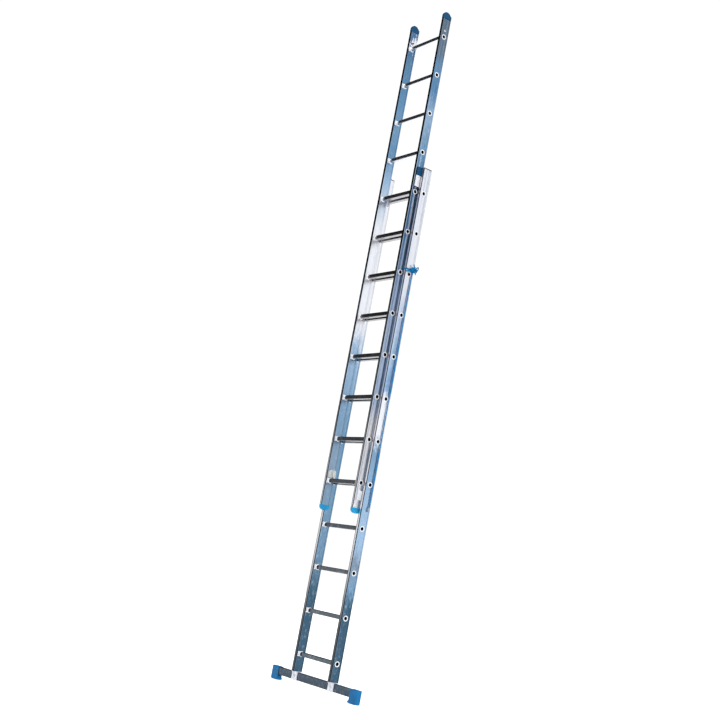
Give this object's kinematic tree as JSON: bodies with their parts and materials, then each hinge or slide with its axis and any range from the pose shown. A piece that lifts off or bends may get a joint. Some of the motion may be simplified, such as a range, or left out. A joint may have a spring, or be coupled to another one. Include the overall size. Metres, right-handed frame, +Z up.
{
  "type": "extension ladder",
  "caption": "Leaning extension ladder: a sliding fly section with catch hooks, rope and pulley on a base section with a stabiliser bar and end feet.",
  "frame": {"origin": "on the floor under the middle of the ladder's box, rope left out", "axes": "+X along the rungs to the climber's right, +Y back towards the wall, +Z up along the stiles"},
  "size_m": [0.95, 0.1315, 4.582],
  "materials": {
    "stile_aluminium": "extruded, satin, with fine drawing lines along the stile",
    "rung_aluminium": "extruded with grip ribs, dull",
    "bar_aluminium": "extruded, dull dark slate",
    "cast_aluminium": "bright fine casting",
    "zinc_steel": "zinc plated",
    "foot_plastic": "moulded, fine texture",
    "shoe_plastic": "moulded, fine texture",
    "cap_plastic": "moulded, fine texture",
    "guide_nylon": "moulded, fine texture",
    "dark_plastic": "moulded, fine texture",
    "rope": "braided polypropylene"
  },
  "bodies": {
    "base": {"base_stile_left": "stile_aluminium", "base_stile_right": "stile_aluminium", "base_rung_01": "rung_aluminium", "base_rung_02": "rung_aluminium", "base_rung_03": "rung_aluminium", "base_rung_04": "rung_aluminium", "base_rung_05": "rung_aluminium", "base_rung_06": "rung_aluminium", "base_rung_07": "rung_aluminium", "base_rung_08": "rung_aluminium", "base_rung_09": "rung_aluminium", "base_rung_10": "rung_aluminium", "base_rung_11": "rung_aluminium", "base_rung_12": "rung_aluminium", "base_top_cap_left": "dark_plastic", "base_top_cap_right": "dark_plastic", "stabiliser_bar": "bar_aluminium", "bar_bracket_left": "cast_aluminium", "bar_bracket_right": "cast_aluminium", "bar_bolt_left": "zinc_steel", "bar_bolt_right": "zinc_steel", "foot_left": "foot_plastic", "foot_right": "foot_plastic", "guide_plate_left": "cast_aluminium", "guide_plate_right": "cast_aluminium", "top_guide_left": "cap_plastic", "top_guide_right": "cap_plastic", "pulley_bracket": "zinc_steel", "pulley_pin": "zinc_steel", "rope_fall": "rope", "rope_knot": "rope", "rope_tail": "rope", "rope_cleat": "cast_aluminium"},
    "fly": {"fly_stile_left": "stile_aluminium", "fly_stile_right": "stile_aluminium", "fly_rung_01": "rung_aluminium", "fly_rung_02": "rung_aluminium", "fly_rung_03": "rung_aluminium", "fly_rung_04": "rung_aluminium", "fly_rung_05": "rung_aluminium", "fly_rung_06": "rung_aluminium", "fly_rung_07": "rung_aluminium", "fly_rung_08": "rung_aluminium", "fly_rung_09": "rung_aluminium", "fly_rung_10": "rung_aluminium", "fly_rung_11": "rung_aluminium", "fly_rung_12": "rung_aluminium", "fly_top_cap_left": "cap_plastic", "fly_top_cap_right": "cap_plastic", "fly_bottom_cap_left": "shoe_plastic", "fly_bottom_cap_right": "shoe_plastic", "fly_guide_left": "guide_nylon", "fly_guide_right": "guide_nylon", "latch_plate_left": "zinc_steel", "latch_plate_right": "zinc_steel", "rope_anchor": "zinc_steel", "rope_haul": "rope"},
    "latch_left": {"latch_hook_left": "zinc_steel"},
    "latch_right": {"latch_hook_right": "zinc_steel"},
    "pulley": {"pulley_wheel": "dark_plastic"}
  },
  "joints": [
    {"name": "fly_slide", "type": "slide", "parent": "base", "child": "fly", "axis": [0, 0, 1], "range_m": [-1.12, 1.12], "deforming": ["rope_haul"]},
    {"name": "latch_left_swing", "type": "hinge", "parent": "fly", "child": "latch_left", "pos_m": [-0.16, -0.002, 1.3438], "axis": [-1, 0, 0], "range_deg": [0, 110]},
    {"name": "latch_right_swing", "type": "hinge", "parent": "fly", "child": "latch_right", "pos_m": [0.16, -0.002, 1.3438], "axis": [-1, 0, 0], "range_deg": [0, 110]},
    {"name": "pulley_spin", "type": "hinge", "parent": "base", "child": "pulley", "pos_m": [0.145, 0.0245, 3.328], "axis": [1, 0, 0], "continuous": true}
  ],
  "couplings": [
    {"joint": "pulley_spin", "follows": "fly_slide", "rad_per_m": -40}
  ]
}
